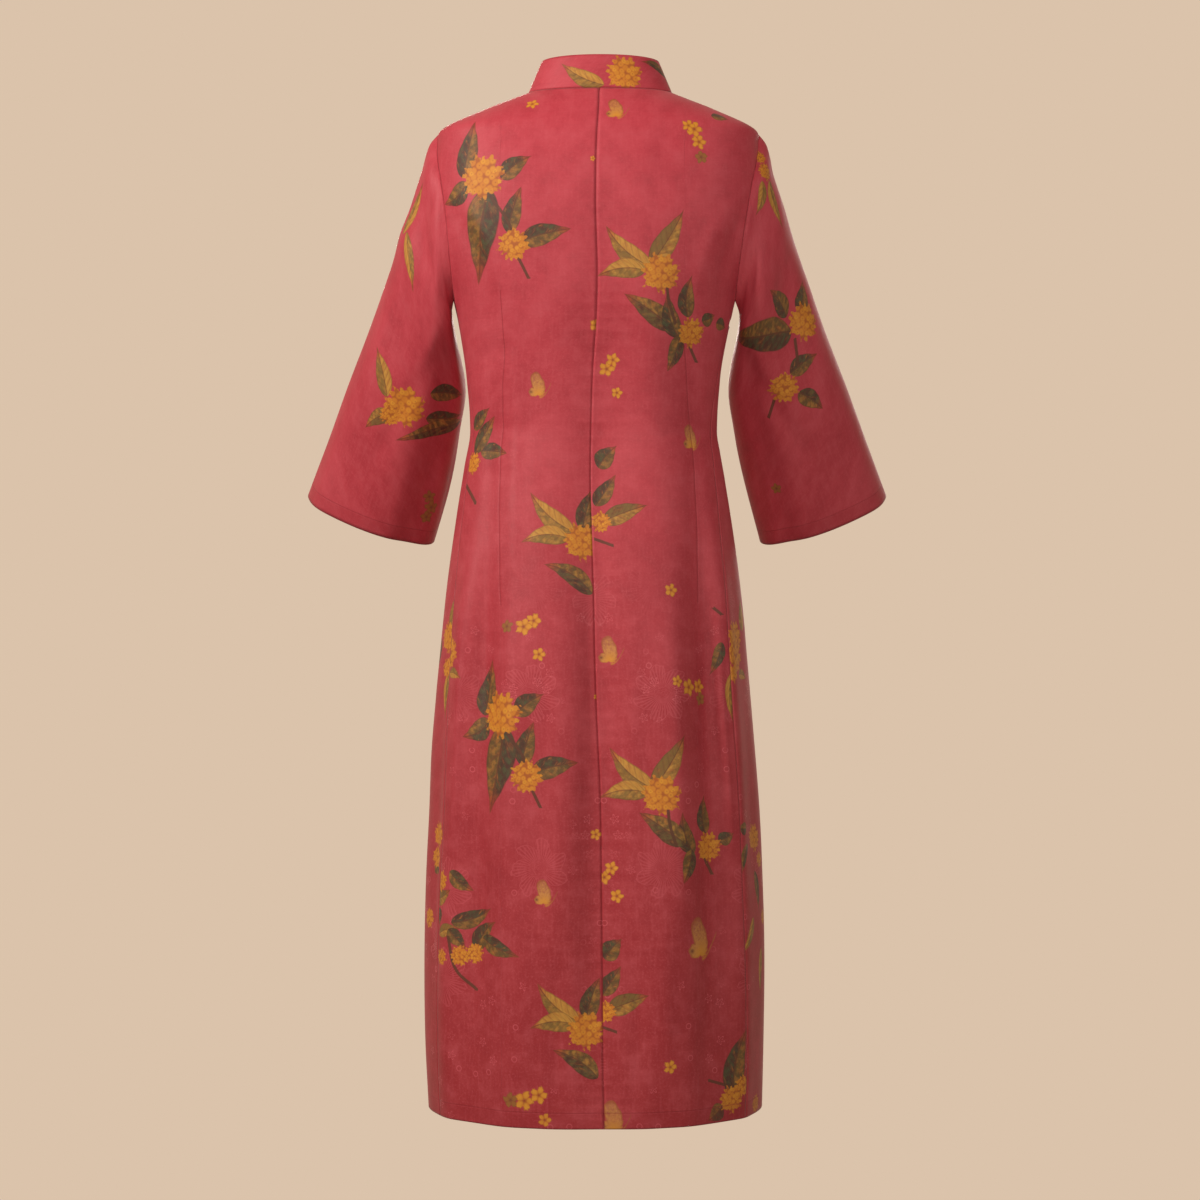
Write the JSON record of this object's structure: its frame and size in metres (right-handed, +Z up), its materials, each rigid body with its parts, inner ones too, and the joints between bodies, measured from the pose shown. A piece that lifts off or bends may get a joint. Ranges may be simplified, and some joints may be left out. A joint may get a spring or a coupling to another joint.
{
  "type": "qipao",
  "caption": "Long loose silk dress with a stand collar, slanting front opening and wide three-quarter sleeves, hanging open and filled out with no wearer.",
  "frame": {"origin": "midway between the shoulders, level with the meeting of collar and shoulder seams, where the garment is carried", "axes": "+Z up towards the collar, +Y out of the back, -Y out of the front, +X towards the wearer's left"},
  "size_m": [0.724, 0.344, 1.238],
  "materials": {
    "silk": "printed silk jacquard with a soft sheen",
    "cord": "rolled silk cord",
    "thread": "sewing thread"
  },
  "bodies": {
    "root": {"back_left": "silk", "back_right": "silk", "front": "silk", "front_under": "silk", "sleeve_left": "silk", "sleeve_right": "silk", "collar": "silk", "frog_neck_knot": "cord", "frog_neck_loop": "cord", "frog_chest_knot": "cord", "frog_chest_loop": "cord", "frog_side_knot": "cord", "frog_side_loop": "cord"}
  },
  "joints": []
}
